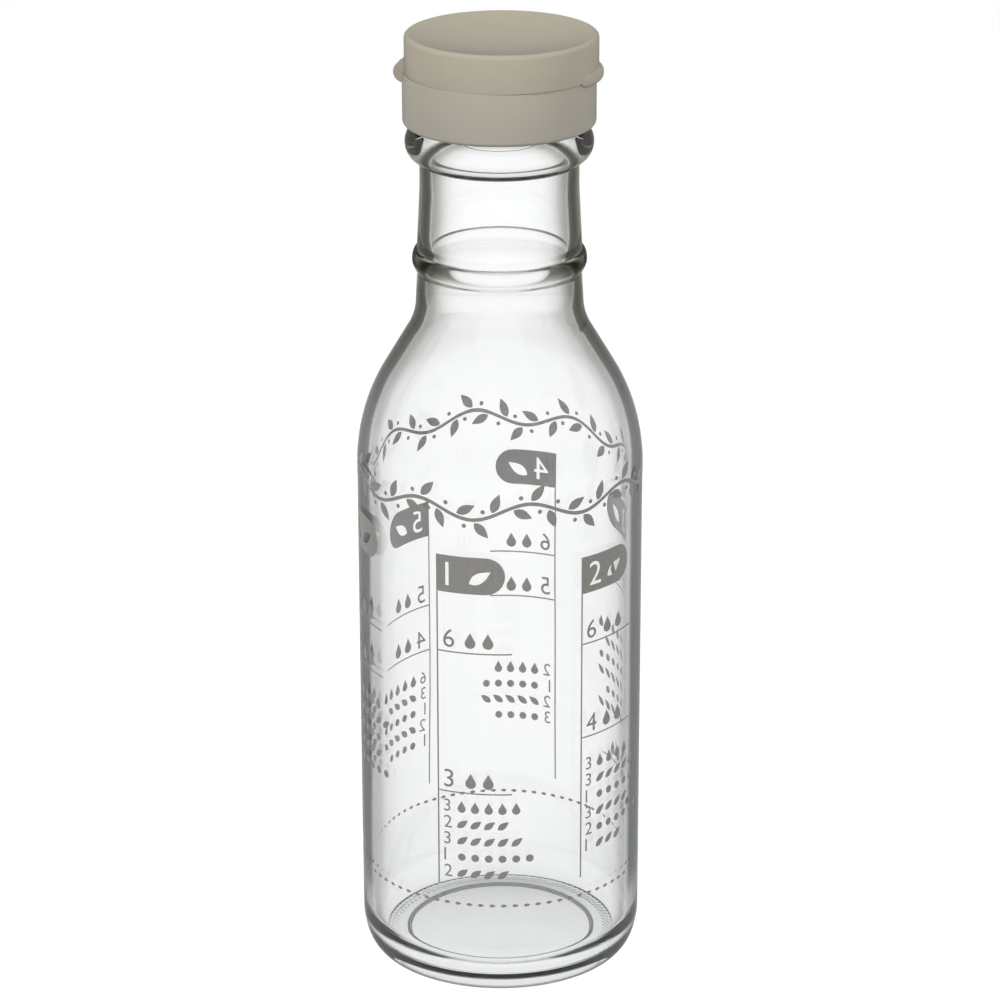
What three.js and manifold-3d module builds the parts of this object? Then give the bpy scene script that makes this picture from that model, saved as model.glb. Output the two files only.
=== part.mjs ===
// Salad dressing shaker: a glass bottle, a screw collar with a pouring spout, and a flip-top lid.
// Millimetres, +Z up. The origin is the centre of the circle that the bottle stands on.
import * as THREE from "three";
import { mergeVertices } from "three/addons/utils/BufferGeometryUtils.js";
import Module from "manifold-3d";

const wasm = await Module();
wasm.setup();

// Bottle: body, heel and base
const bodyRadius = 31.75;
const glassWall = 2.75;
const wallTop = 117.3;
const heelWidth = 3.8;
const heelHeight = 9.3;
const footWidth = 6.3;
const puntStepWidth = 0.8;
const puntStepHeight = 1.6;
const puntHeight = 2.9;
const floorThickness = 2.7;
const floorCornerWidth = 5.5;
const floorCornerHeight = 7.5;
const floorCrown = 2;

// Bottle: shoulder and neck
const shoulderRound = 43;
const neckFlare = 13.4;
const neckRadius = 18.4;
const neckRingRise = 8.8;
const neckRingProud = 1.05;
const neckRingHalfHeight = 2.4;
const neckRingSink = 0.35;
const neckTaperLength = 14;

// Bottle: transfer bead and screw finish
const finishRadius = 17.35;
const beadRise = 26.5;
const beadProud = 3.15;
const beadRound = 4.4;
const threadDepth = 1.35;
const threadStart = 5.4;
const threadRun = 5.9;
const threadLead = 0.7;
const lipRise = 13;
const lipRound = 0.8;

// Closure: how the collar sits on the glass
const neckClearance = 0.35;
const sealThickness = 0.9;
const sealInset = 0.3;

// Collar
const collarWall = 1.9;
const collarHeight = 11.55;
const collarBottomRound = 1;
const deckThickness = 1.65;
const seamGap = 0.3;
const edgeBreak = 0.25;
const spigotHeight = 1;
const spigotWall = 1.2;
const spigotClearance = 0.3;

// Pouring spout on the collar's deck
const spoutBore = 16;
const spoutWall = 1.5;
const spoutHeight = 3.2;
const spoutLip = 0.55;

// Lid
const lidOffset = 0.5;
const lidWall = 1.5;
const lidPlate = 1.25;
const rimRound = 1;
const dishDepth = 2.5;
const plugClearance = 0.3;
const plugTaper = 0.5;
const plugWall = 1.3;
const plugDepth = 3.8;
const lidSealThickness = 1;
const lidSealGap = 0.3;

// Thumb tab: a round-edged disc that leaves the lid's wall as a crescent
const tabRadius = 12.7;
const tabProud = 1.65;
const tabThickness = 3.4;
const tabDrop = 1.6;
const tabRound = 1.5;
const tabClearance = 0.3;

// Hinge opposite the tab
const hingeInset = 1.37;
const knuckleRadius = 2.35;
const lidKnuckleRadius = 2.2;
const hingeHalfLength = 6.5;
const lidKnuckleHalfLength = 2.6;
const knuckleGap = 0.3;
const pinRadius = 1;
const pinClearance = 0.1;
const pinEndWall = 0.9;

// The closure is screwed home with its tab a little towards the front
const closureTurn = THREE.MathUtils.degToRad(-12);
// The shoulder's straight stretch leans this far from the vertical
const shoulderLean = THREE.MathUtils.degToRad(30.7);

// How far a cutting body runs past what it cuts
const overrun = 2;

// How finely round shapes are divided
const roundSides = 56;
const smallSides = 24;
const longArc = 6;
const shortArc = 3;
const innerArc = 4;

// Vertices closer than this are one vertex
const weldDistance = 1e-5;

const quarter = Math.PI / 2;

// Points of an elliptical arc in a profile, x being the radius and y the height
function arc(x, y, radiusX, radiusY, from, to, steps) {
  return new THREE.EllipseCurve(x, y, radiusX, radiusY, from, to, to < from).getPoints(steps);
}

function point(x, y) {
  return new THREE.Vector2(x, y);
}

// A closed three.js geometry as a manifold solid
function solid(geometry) {
  const bare = geometry.index ? geometry.toNonIndexed() : geometry.clone();
  for (const name of ["normal", "uv"]) {
    bare.deleteAttribute(name);
  }
  const merged = mergeVertices(bare, weldDistance);
  return new wasm.Manifold(new wasm.Mesh({
    numProp: 3,
    vertProperties: merged.attributes.position.array,
    triVerts: new Uint32Array(merged.index.array),
  }));
}

// A body turned about the Z axis from a closed profile; anticlockwise profiles face outwards
function turned(profile, sides = roundSides) {
  const geometry = new THREE.LatheGeometry([...profile, profile[0]], sides);
  geometry.rotateX(quarter);
  return solid(geometry);
}

// A plain round body of given radius between two heights
function disc(radius, bottom, top, sides = roundSides) {
  return turned([point(0, bottom), point(radius, bottom), point(radius, top), point(0, top)], sides);
}

// A round bar along the hinge axis between two places on it
function hingeBar(radius, from, to) {
  const geometry = new THREE.CylinderGeometry(radius, radius, to - from, smallSides);
  geometry.translate(-hingeReach, (from + to) / 2, hingeHeight);
  return solid(geometry);
}

function block(fromX, toX, halfWidth, bottom, top) {
  const geometry = new THREE.BoxGeometry(toX - fromX, halfWidth * 2, top - bottom);
  geometry.translate((fromX + toX) / 2, 0, (bottom + top) / 2);
  return solid(geometry);
}

function makeMesh(name, body, color, roughness, look = {}) {
  const cut = body.getMesh();
  const geometry = new THREE.BufferGeometry();
  geometry.setAttribute("position", new THREE.BufferAttribute(cut.vertProperties, 3));
  geometry.setIndex(new THREE.BufferAttribute(cut.triVerts, 1));
  geometry.computeVertexNormals();
  const material = new THREE.MeshStandardMaterial({ color, roughness, metalness: 0, ...look });
  const mesh = new THREE.Mesh(geometry, material);
  mesh.name = name;
  return mesh;
}

// Heights and radii that follow from the driving sizes
const arcSine = Math.sin(shoulderLean);
const arcRise = 1 - Math.cos(shoulderLean);
const leanLength = (bodyRadius - neckRadius - (shoulderRound + neckFlare) * arcRise) / arcSine;
const neckBase = wallTop + (shoulderRound + neckFlare) * arcSine + leanLength * Math.cos(shoulderLean);
const neckRingHeight = neckBase + neckRingRise;
const beadHeight = neckRingHeight + beadRise;
const lipTop = beadHeight + lipRise;
const threadRadius = finishRadius + threadDepth;
const skirtRadius = threadRadius + neckClearance;
const closureRadius = skirtRadius + collarWall;
const hingeReach = closureRadius - hingeInset;
const deckBottom = lipTop + sealThickness;
const deckTop = deckBottom + deckThickness;
const collarBottom = deckTop - collarHeight;
const hingeHeight = deckTop + seamGap / 2;
const lidBottom = deckTop + seamGap;
const spoutTop = deckTop + spoutHeight;
const lidUnder = spoutTop + lidSealGap + lidSealThickness;
const lidTop = lidUnder + lidPlate + dishDepth;

// The shoulder seen as a profile: an arc off the wall, a straight lean, and an arc onto the neck,
// all moved inwards by the glass wall for the inside
function shoulder(inset, steps) {
  const round = shoulderRound - inset;
  const flare = neckFlare + inset;
  return [
    ...arc(bodyRadius - shoulderRound, wallTop, round, round, 0, shoulderLean, steps),
    ...arc(neckRadius + neckFlare, neckBase, flare, flare, Math.PI + shoulderLean, Math.PI, steps),
  ];
}

function bottleBody() {
  const footOuter = bodyRadius - heelWidth;
  const footInner = footOuter - footWidth;
  const puntEdge = footInner - puntStepWidth;
  const bore = finishRadius - glassWall;
  const inside = bodyRadius - glassWall;
  const floor = puntHeight + floorThickness;
  const corner = floor - floorCrown;
  const floorEdge = inside - floorCornerWidth;
  const domeRadius = (floorEdge * floorEdge + floorCrown * floorCrown) / (2 * floorCrown);
  const domeAngle = Math.acos(floorEdge / domeRadius);
  const cornerCentre = corner + floorCornerHeight;
  const upperNeck = neckRadius - neckRingSink;
  const beadCentre = finishRadius + beadProud - beadRound;
  const beadHalf = Math.acos((finishRadius - beadCentre) / beadRound);
  const threadBottom = beadHeight + threadStart;
  const threadTop = threadBottom + threadRun;
  const neckTop = neckRingHeight + neckRingHalfHeight;
  return turned([
    ...arc(0, puntStepHeight, puntEdge, puntHeight - puntStepHeight, quarter, 0, innerArc),
    point(footInner, 0),
    ...arc(footOuter, heelHeight, heelWidth, heelHeight, -quarter, 0, longArc),
    ...shoulder(0, longArc),
    ...arc(upperNeck, neckRingHeight, neckRingProud, neckRingHalfHeight, -quarter, quarter, longArc),
    point(finishRadius, neckTop + neckTaperLength),
    ...arc(beadCentre, beadHeight, beadRound, beadRound, -beadHalf, beadHalf, longArc),
    point(finishRadius, threadBottom - threadLead),
    point(threadRadius, threadBottom),
    point(threadRadius, threadTop),
    point(finishRadius, threadTop + threadLead),
    ...arc(finishRadius - lipRound, lipTop - lipRound, lipRound, lipRound, 0, quarter, shortArc),
    ...arc(bore + lipRound, lipTop - lipRound, lipRound, lipRound, quarter, Math.PI, shortArc),
    point(bore, neckTop + neckTaperLength),
    point(upperNeck - glassWall, neckRingHeight),
    ...shoulder(glassWall, innerArc).reverse(),
    ...arc(floorEdge, cornerCentre, floorCornerWidth, floorCornerHeight, 0, -quarter, innerArc),
    ...arc(0, floor - domeRadius, domeRadius, domeRadius, domeAngle, quarter, innerArc).slice(1),
  ]);
}

function neckSealBody() {
  const inner = finishRadius - glassWall + sealInset;
  return turned([
    point(inner, lipTop),
    point(finishRadius, lipTop),
    point(finishRadius, deckBottom),
    point(inner, deckBottom),
  ]);
}

function collarBody() {
  const sealSeat = finishRadius + neckClearance;
  const shelf = beadHeight + threadStart + threadRun + neckClearance;
  const bore = spoutBore / 2;
  const spoutOuter = bore + spoutWall;
  const spigotOuter = closureRadius - lidWall - lidOffset - spigotClearance;
  const spigotInner = spigotOuter - spigotWall;
  let body = turned([
    point(skirtRadius, collarBottom),
    ...arc(closureRadius - collarBottomRound, collarBottom + collarBottomRound,
      collarBottomRound, collarBottomRound, -quarter, 0, shortArc),
    point(closureRadius, deckTop - edgeBreak),
    point(closureRadius - edgeBreak, deckTop),
    point(spigotOuter, deckTop),
    point(spigotOuter, deckTop + spigotHeight - edgeBreak),
    point(spigotOuter - edgeBreak, deckTop + spigotHeight),
    point(spigotInner, deckTop + spigotHeight),
    point(spigotInner, deckTop),
    point(spoutOuter, deckTop),
    point(spoutOuter, spoutTop - spoutLip * 2),
    ...arc(spoutOuter, spoutTop - spoutLip, spoutLip, spoutLip, -quarter / 2, quarter, shortArc),
    point(bore, spoutTop),
    point(bore, deckBottom),
    point(sealSeat, deckBottom),
    point(sealSeat, lipTop - sealThickness),
    point(skirtRadius, shelf + threadLead),
  ]);
  const slotRadius = lidKnuckleRadius + knuckleGap;
  const slotHalf = lidKnuckleHalfLength + knuckleGap;
  body = body.subtract(hingeBar(slotRadius, -slotHalf, slotHalf));
  const slotFloor = hingeHeight - slotRadius;
  body = body.subtract(block(-closureRadius - overrun, -hingeReach, slotHalf, slotFloor, lidTop));
  for (const side of [-1, 1]) {
    const ends = [side * slotHalf, side * hingeHalfLength].sort((a, b) => a - b);
    body = body.add(hingeBar(knuckleRadius, ...ends));
  }
  const pinEnd = pinEndWall - hingeHalfLength;
  return body.subtract(hingeBar(pinRadius + pinClearance, pinEnd, closureRadius));
}

function lidBody() {
  const inner = closureRadius - lidWall;
  const rimRadius = closureRadius - rimRound;
  const dishRadius = (rimRadius * rimRadius + dishDepth * dishDepth) / (2 * dishDepth);
  const dishAngle = Math.asin(rimRadius / dishRadius);
  const shell = turned([
    point(inner, lidBottom),
    point(closureRadius - edgeBreak, lidBottom),
    point(closureRadius, lidBottom + edgeBreak),
    ...arc(rimRadius, lidTop - rimRound, rimRound, rimRound, 0, quarter, shortArc).slice(0, -1),
    ...arc(0, lidTop - dishDepth + dishRadius, dishRadius, dishRadius, dishAngle - quarter, -quarter, longArc),
    point(0, lidUnder),
    point(inner, lidUnder),
  ]).translate([lidOffset, 0, 0]);

  const plugOuter = spoutBore / 2 - plugClearance;
  const plugInner = plugOuter - plugWall;
  const plug = turned([
    point(plugInner, lidUnder - plugDepth),
    point(plugOuter - plugTaper, lidUnder - plugDepth),
    point(plugOuter, lidUnder),
    point(plugOuter, lidUnder + lidPlate / 2),
    point(plugInner, lidUnder + lidPlate / 2),
  ]);

  const tabBottom = hingeHeight - tabDrop;
  const tabTop = tabBottom + tabThickness;
  const tabInner = inner + lidWall / 2;
  const tab = turned([
    point(0, tabBottom),
    ...arc(tabRadius - tabRound, tabBottom + tabRound, tabRound, tabRound, -quarter, 0, shortArc),
    ...arc(tabRadius - tabRound, tabTop - tabRound, tabRound, tabRound, 0, quarter, shortArc),
    point(0, tabTop),
  ]).translate([closureRadius + tabProud - tabRadius, 0, 0])
    .subtract(disc(tabInner, lidBottom, lidTop).translate([lidOffset, 0, 0]))
    .subtract(disc(closureRadius + tabClearance, tabBottom - overrun, lidBottom));

  let body = shell.add(plug).add(tab);
  for (const side of [-1, 1]) {
    const ends = [side * lidKnuckleHalfLength, side * (hingeHalfLength + knuckleGap)].sort((a, b) => a - b);
    body = body.subtract(hingeBar(knuckleRadius + knuckleGap, ...ends));
  }
  body = body.add(hingeBar(lidKnuckleRadius, -lidKnuckleHalfLength, lidKnuckleHalfLength));
  return body.subtract(hingeBar(pinRadius + pinClearance, -hingeHalfLength, hingeHalfLength));
}

function lidSealBody() {
  const inner = spoutBore / 2 - plugClearance + pinClearance;
  const outer = spoutBore / 2 + spoutWall + spoutLip;
  return turned([
    point(inner, lidUnder - lidSealThickness),
    point(outer, lidUnder - lidSealThickness),
    point(outer, lidUnder),
    point(inner, lidUnder),
  ]);
}

function hingePinBody() {
  return hingeBar(pinRadius, pinEndWall + pinClearance - hingeHalfLength, hingeHalfLength);
}

const closureColor = 0xaca696;
const shaker = new THREE.Group();
shaker.add(makeMesh("bottle", bottleBody(), 0xeef4f1, 0.05, { transparent: true, opacity: 0.35 }));

const closure = new THREE.Group();
closure.rotation.z = closureTurn;
closure.add(makeMesh("neck_seal", neckSealBody(), 0xe4e2dc, 0.7));
closure.add(makeMesh("collar", collarBody(), closureColor, 0.45));
closure.add(makeMesh("lid", lidBody(), closureColor, 0.45));
closure.add(makeMesh("lid_seal", lidSealBody(), 0xe4e2dc, 0.7));
closure.add(makeMesh("hinge_pin", hingePinBody(), 0xc4c6c8, 0.3, { metalness: 1 }));
shaker.add(closure);

export default shaker;
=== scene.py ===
import math

import bmesh
import bpy
from mathutils import Matrix, Vector
from mathutils.geometry import interpolate_bezier


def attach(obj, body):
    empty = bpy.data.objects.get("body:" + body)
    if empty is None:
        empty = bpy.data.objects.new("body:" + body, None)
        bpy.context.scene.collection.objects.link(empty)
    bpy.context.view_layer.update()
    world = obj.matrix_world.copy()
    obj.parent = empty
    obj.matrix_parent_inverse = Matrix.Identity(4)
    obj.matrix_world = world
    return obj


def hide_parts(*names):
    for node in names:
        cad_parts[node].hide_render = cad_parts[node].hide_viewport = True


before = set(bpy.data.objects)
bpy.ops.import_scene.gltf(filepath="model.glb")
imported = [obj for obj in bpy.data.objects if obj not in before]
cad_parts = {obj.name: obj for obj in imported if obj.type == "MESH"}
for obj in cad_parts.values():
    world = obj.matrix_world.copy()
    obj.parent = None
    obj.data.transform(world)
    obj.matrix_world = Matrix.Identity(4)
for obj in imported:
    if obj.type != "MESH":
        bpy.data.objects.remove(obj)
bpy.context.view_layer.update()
mm = 0.001
tiny = 1e-4                      # millimetres: points closer than this are one
hair = 0.01                      # millimetres of play when a point is looked up on a surface
overrun = 2.0                    # millimetres that a cutting shape runs past what it cuts
quarterTurn = math.pi / 2
fullTurn = math.pi * 2


# Camera, at the place and angle that the photo was taken from

cameraView = {
    "place": (0.0, -0.82097, 0.41761),
    "pitchDown": 20.69,
    "roll": -0.1,
    "lens": 141.53,
    "sensor": 36.0,
    "clip": (0.01, 50.0),
}


def placeObject(name, data):
    placed = bpy.data.objects.new(name, data)
    bpy.context.scene.collection.objects.link(placed)
    return placed


def makeCamera(view):
    data = bpy.data.cameras.new("viewCamera")
    data.lens = view["lens"]
    data.sensor_width = view["sensor"]
    data.clip_start, data.clip_end = view["clip"]
    camera = placeObject("viewCamera", data)
    turn = Matrix.Rotation(quarterTurn - math.radians(view["pitchDown"]), 4, "X")
    roll = Matrix.Rotation(math.radians(view["roll"]), 4, "Z")
    camera.matrix_world = Matrix.Translation(view["place"]) @ turn @ roll
    bpy.context.scene.camera = camera


makeCamera(cameraView)
print("camera set")


# Helpers that turn profiles into meshes. Profiles are in millimetres: distance from the axis, height

def arcPoints(x, z, radiusX, radiusZ, start, end, steps):
    angles = [start + (end - start) * i / steps for i in range(steps + 1)]
    return [(x + radiusX * math.cos(a), z + radiusZ * math.sin(a)) for a in angles]


def roundPoints(x, z, radius, start, end, steps):
    return arcPoints(x, z, radius, radius, start, end, steps)


def linePoints(start, end, steps):
    (x0, z0), (x1, z1) = start, end
    return [(x0 + (x1 - x0) * i / steps, z0 + (z1 - z0) * i / steps) for i in range(steps + 1)]


def withoutRepeats(points):
    kept = []
    for p in points:
        if not kept or math.dist(p, kept[-1]) > tiny:
            kept.append(p)
    if math.dist(kept[0], kept[-1]) <= tiny and kept[0][0] > tiny:
        kept.pop()
    return kept


def cleanSeams(bm, nearest=1e-6):
    # Points closer than a thousandth of a millimetre become one. Faces that this folds onto each other,
    # and walls left inside a body, go
    bmesh.ops.remove_doubles(bm, verts=bm.verts[:], dist=nearest)
    bmesh.ops.dissolve_degenerate(bm, edges=bm.edges[:], dist=nearest)
    sameCorners = {}
    for face in bm.faces:
        sameCorners.setdefault(frozenset(face.verts), []).append(face)
    folded = [face for same in sameCorners.values() if len(same) > 1 for face in same]
    bmesh.ops.delete(bm, geom=folded, context="FACES")
    inner = [face for face in bm.faces if all(len(edge.link_faces) > 2 for edge in face.edges)]
    bmesh.ops.delete(bm, geom=inner, context="FACES_ONLY")


def makeObject(name, bm, isTurnedOut=False):
    # Unless its faces point outwards already, they are turned so
    if not isTurnedOut:
        bmesh.ops.recalc_face_normals(bm, faces=bm.faces[:])
    mesh = bpy.data.meshes.new(name)
    bm.to_mesh(mesh)
    bm.free()
    return placeObject(name, mesh)


def turnedPiece(name, profile, sides, shape=None):
    # A closed body turned about the axis; shape(angle, x, z) may move each ring's points
    bm = bmesh.new()
    rings = []
    for x, z in withoutRepeats(profile):
        if x < tiny:
            rings.append([bm.verts.new((0, 0, z * mm))])
            continue
        ring = []
        for i in range(sides):
            a = fullTurn * i / sides
            r, h = shape(a, x, z) if shape else (x, z)
            ring.append(bm.verts.new((r * math.cos(a) * mm, r * math.sin(a) * mm, h * mm)))
        rings.append(ring)
    endsOnAxis = len(rings[0]) == 1 or len(rings[-1]) == 1
    pairs = list(zip(rings, rings[1:])) + ([] if endsOnAxis else [(rings[-1], rings[0])])
    for low, high in pairs:
        for i in range(sides):
            j = (i + 1) % sides
            corners = [low[i % len(low)], low[j % len(low)], high[j % len(high)], high[i % len(high)]]
            corners = list(dict.fromkeys(corners))
            if len(corners) > 2:
                bm.faces.new(corners)
    return makeObject(name, bm)


def boxPiece(name, low, high):
    bm = bmesh.new()
    bmesh.ops.create_cube(bm, size=1)
    for v in bm.verts:
        v.co = Vector([(low[i] + high[i]) / 2 + v.co[i] * (high[i] - low[i]) for i in range(3)]) * mm
    return makeObject(name, bm)


def joinShape(piece, tool, operation):
    # Joins or cuts the piece with the tool, which is used up, and cleans the seams
    modifier = piece.modifiers.new("shape", "BOOLEAN")
    modifier.solver = "EXACT"
    modifier.operation = operation
    modifier.object = tool
    graph = bpy.context.evaluated_depsgraph_get()
    mesh = bpy.data.meshes.new_from_object(piece.evaluated_get(graph))
    bm = bmesh.new()
    bm.from_mesh(mesh)
    cleanSeams(bm)
    bm.to_mesh(mesh)
    bm.free()
    piece.modifiers.clear()
    old = piece.data
    piece.data = mesh
    bpy.data.meshes.remove(old)
    bpy.data.objects.remove(tool)


def moveMesh(piece, matrix):
    piece.data.transform(matrix)
    piece.data.update()
    return piece


def smoothOver(piece, angle):
    # Smooth shading, but for edges that turn by more than the angle
    bm = bmesh.new()
    bm.from_mesh(piece.data)
    for face in bm.faces:
        face.smooth = True
    for edge in bm.edges:
        if len(edge.link_faces) == 2:
            edge.smooth = edge.calc_face_angle(0) < math.radians(angle)
    bm.to_mesh(piece.data)
    bm.free()


# The thread that the bottle's finish and the collar share: a right-hand helix

screwThread = {
    "pitch": 4.2333,
    "startHeight": 196.85,
    "startAngle": 0.6,
    "fade": 0.06,                # turns over which each end runs out
    "flank": 1.9,                # how steeply its flanks rise
    "bottle": {"turns": 1.06, "halfWidth": 1.15, "depth": 1.33},
    "collar": {"turns": 1.05, "halfWidth": 0.8, "depth": 1.15},
    "collarDelay": 0.24,         # turns after the bottle's start at which the collar's thread begins
}


def threadDepth(thread, side, angle, z, startHeight, startAngle):
    # How deep the bottle's or the collar's thread stands at this place
    turns = thread[side]["turns"]
    first = ((angle - startAngle) % fullTurn) / fullTurn
    best = 0
    for lap in range(math.ceil(turns)):
        along = first + lap
        off = abs(z - startHeight - thread["pitch"] * along) / thread[side]["halfWidth"]
        if along > turns or off >= 1:
            continue
        ends = min(along / thread["fade"], (turns - along) / thread["fade"], 1)
        flank = min(1, (1 - off) * thread["flank"])
        best = max(best, flank * flank * (3 - 2 * flank) * math.sqrt(max(0, ends)))
    return thread[side]["depth"] * best


# Bottle

bottleShape = {
    "bodyRadius": 31.75,
    "skinInset": 0.05,           # room that the glass leaves for the print inside the model's box
    "wall": 2.75,
    "wallTop": 117.3,
    "heelWidth": 3.8,
    "heelHeight": 9.3,
    "footWidth": 6.3,
    "footEases": (0.3, 0.2),     # between the foot's flat and its inner and outer rounds
    "footGap": 0.24,             # how far the knurls lift the ring off the table
    "puntStep": 0.8,
    "puntStepHeight": 1.6,
    "puntHeight": 2.9,
    "floorThickness": 2.7,
    "cornerWidth": 5.5,
    "cornerHeight": 7.5,
    "floorCrown": 2.0,
    "shoulderRound": 43.0,
    "neckFlare": 13.4,
    "neckRadius": 18.4,
    "shoulderLean": 30.7,
    "ringRise": 8.8,
    "ringProud": 1.05,
    "ringHalfHeight": 2.4,
    "ringReach": 2.5,            # half height with its soft foot
    "ringFullness": (1.2, 0.5),  # of its lower and its upper half: below it runs softly into the neck
    "ridgeRise": 0.9,            # a fine ridge on the inner wall, just above the middle of the ring
    "ridgeHalf": 0.35,
    "ridgeDepth": 0.12,
    "ringSink": 0.35,
    "neckTaper": 14.0,
    "finishRadius": 17.35,
    "beadRise": 26.5,
    "beadProud": 3.15,
    "beadRound": 4.4,
    "beadFillet": 0.5,
    "beadEase": 0.2,
    "threadFrom": 4.0,           # above the middle of the bead
    "lipRise": 13.0,
    "lipRound": 0.8,
    "boreTop": 2.0,              # below the lip, where the bore runs straight
    "knurls": 96,
    "knurlInner": 23.9,
    "knurlOuter": 27.0,
    "knurlSlant": 0.055,
    "knurlFullness": 0.8,
    "knurlEnds": 2.2,            # how soon each bar reaches its full height
    "wallWave": 0.1,             # millimetres that the inner wall wanders, as blown glass does
    # Each wave: how often it goes round, how it turns with height, where it starts, and its share
    "waves": [(2, 0.031, 0.7, 0.5), (3, -0.057, 0.0, 0.3), (5, 0.11, 2.1, 0.2)],
    "waveFrom": 4.0,             # above the floor
    "waveInset": 1.0,            # inside the neck's radius, where the waves end in the shoulder
    "sides": 384,
    "sharpAngle": 45,
}


def bottleHeights(s):
    lean = math.radians(s["shoulderLean"])
    rounds = s["shoulderRound"] + s["neckFlare"]
    straight = (s["bodyRadius"] - s["neckRadius"] - rounds * (1 - math.cos(lean))) / math.sin(lean)
    neckBase = s["wallTop"] + rounds * math.sin(lean) + straight * math.cos(lean)
    ring = neckBase + s["ringRise"]
    finishFoot = ring + s["ringHalfHeight"] + s["neckTaper"]
    bead = ring + s["beadRise"]
    return {"neckBase": neckBase, "ring": ring, "finishFoot": finishFoot, "bead": bead,
            "lip": bead + s["lipRise"]}


heights = bottleHeights(bottleShape)


def shoulderPoints(s, inset, steps):
    lean = math.radians(s["shoulderLean"])
    flare = s["neckFlare"] + inset
    return (roundPoints(s["bodyRadius"] - s["shoulderRound"], s["wallTop"], s["shoulderRound"] - inset,
                        0, lean, steps)
            + roundPoints(s["neckRadius"] + s["neckFlare"], heights["neckBase"], flare,
                          math.pi + lean, math.pi, steps))


def outerPoints(s):
    skin = s["bodyRadius"] - s["skinInset"]
    foot = s["bodyRadius"] - s["heelWidth"]
    footInner = foot - s["footWidth"]
    easeIn, easeOut = s["footEases"]
    gap = s["footGap"]
    punt = footInner - s["puntStep"]
    step = s["puntStepHeight"]
    points = arcPoints(0, step + gap, punt, s["puntHeight"] - step - gap, quarterTurn, 0, 11)
    points += arcPoints(footInner, step + gap, s["puntStep"], step, math.pi, math.pi + quarterTurn, 8)
    points += linePoints((footInner + easeIn, gap), (s["knurlInner"], gap), 3)
    points += linePoints((s["knurlInner"], gap), (s["knurlOuter"], gap), 10)
    points += [(foot - easeOut, gap)]
    points += arcPoints(foot, s["heelHeight"], skin - foot, s["heelHeight"] - gap, -quarterTurn, 0, 18)
    points += [(skin, s["wallTop"])]
    points += shoulderPoints(s, s["skinInset"], 20)
    for i in range(21):
        share = i / 10 - 1
        proud = s["ringProud"] * (1 - share ** 2) ** s["ringFullness"][share > 0]
        points.append((s["neckRadius"] - s["ringSink"] + proud, heights["ring"] + s["ringReach"] * share))

    finish = s["finishRadius"]
    bead = s["beadRound"]
    beadCentre = finish + s["beadProud"] - bead
    beadHalf = math.acos((finish - beadCentre) / bead)
    beadEnd = heights["bead"] + bead * math.sin(beadHalf)
    fillet = s["beadFillet"]
    filletX = finish + fillet
    filletAngle = math.acos((filletX - beadCentre) / (bead + fillet))
    filletZ = heights["bead"] - (bead + fillet) * math.sin(filletAngle)
    lipRound = s["lipRound"]
    lip = heights["lip"] - lipRound
    points += [(finish, heights["finishFoot"])]
    points += roundPoints(filletX, filletZ, fillet, math.pi, math.pi - filletAngle, 4)
    points += roundPoints(beadCentre, heights["bead"], bead, -filletAngle, beadHalf, 18)[1:]
    points += linePoints((finish, beadEnd + s["beadEase"]), (finish, lip), 32)
    points += roundPoints(finish - lipRound, lip, lipRound, 0, quarterTurn, 4)
    return points


def innerPoints(s):
    bore = s["finishRadius"] - s["wall"]
    neckBore = s["neckRadius"] - s["ringSink"] - s["wall"]
    inside = s["bodyRadius"] - s["wall"]
    ridge = heights["ring"] + s["ridgeRise"]
    corner = s["puntHeight"] + s["floorThickness"] - s["floorCrown"]
    cornerTop = corner + s["cornerHeight"]
    flat = inside - s["cornerWidth"]
    points = roundPoints(bore + s["lipRound"], heights["lip"] - s["lipRound"], s["lipRound"],
                         quarterTurn, math.pi, 4)
    points += linePoints((bore, heights["lip"] - s["boreTop"]), (bore, heights["finishFoot"]), 2)
    points += linePoints((bore, heights["finishFoot"]), (neckBore, ridge + s["ridgeHalf"]), 3)
    points += [(neckBore - s["ridgeDepth"], ridge), (neckBore, ridge - s["ridgeHalf"])]
    points += shoulderPoints(s, s["wall"], 15)[::-1]
    points += linePoints((inside, s["wallTop"]), (inside, cornerTop), 12)
    points += arcPoints(flat, cornerTop, s["cornerWidth"], s["cornerHeight"], 0, -quarterTurn, 14)
    for i in range(1, 10):
        share = 1 - i / 9
        points.append((flat * share, corner + s["floorCrown"] * (1 - share ** 2)))
    return points


def shapeBottle(s, thread):
    foot = s["bodyRadius"] - s["heelWidth"]
    knurlWidth = s["knurlOuter"] - s["knurlInner"]
    waveBottom = s["floorThickness"] + s["puntHeight"] + s["waveFrom"]

    def shape(angle, x, z):
        if z < s["puntStepHeight"] and s["knurlInner"] < x < s["knurlOuter"]:
            across = math.sin(math.pi * (x - s["knurlInner"]) / knurlWidth)
            turn = (angle + (x - foot) * s["knurlSlant"]) * s["knurls"]
            bar = max(0, math.cos(turn)) ** s["knurlFullness"]
            return x, z - s["footGap"] * bar * min(1, across * s["knurlEnds"])
        if z > heights["bead"] + s["threadFrom"] and x > s["finishRadius"] - hair:
            start = (thread["startHeight"], thread["startAngle"])
            return x + threadDepth(thread, "bottle", angle, z, *start), z
        skin = s["bodyRadius"] - s["wall"] / 2 if z < s["wallTop"] else s["neckRadius"] - s["waveInset"]
        if waveBottom < z < heights["neckBase"] and s["neckRadius"] - s["wall"] / 2 < x < skin:
            wave = sum(math.sin(n * angle + rise * z + first) * share for n, rise, first, share in s["waves"])
            return x + s["wallWave"] * wave, z
        return x, z

    return turnedPiece("glass_bottle", outerPoints(s) + innerPoints(s), s["sides"], shape)


bottle = shapeBottle(bottleShape, screwThread)
smoothOver(bottle, bottleShape["sharpAngle"])
print("bottle shaped", len(bottle.data.polygons), "faces")


# Closure: collar, lid and hinge, shaped with the tab along +X and then turned as it is screwed home

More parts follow.
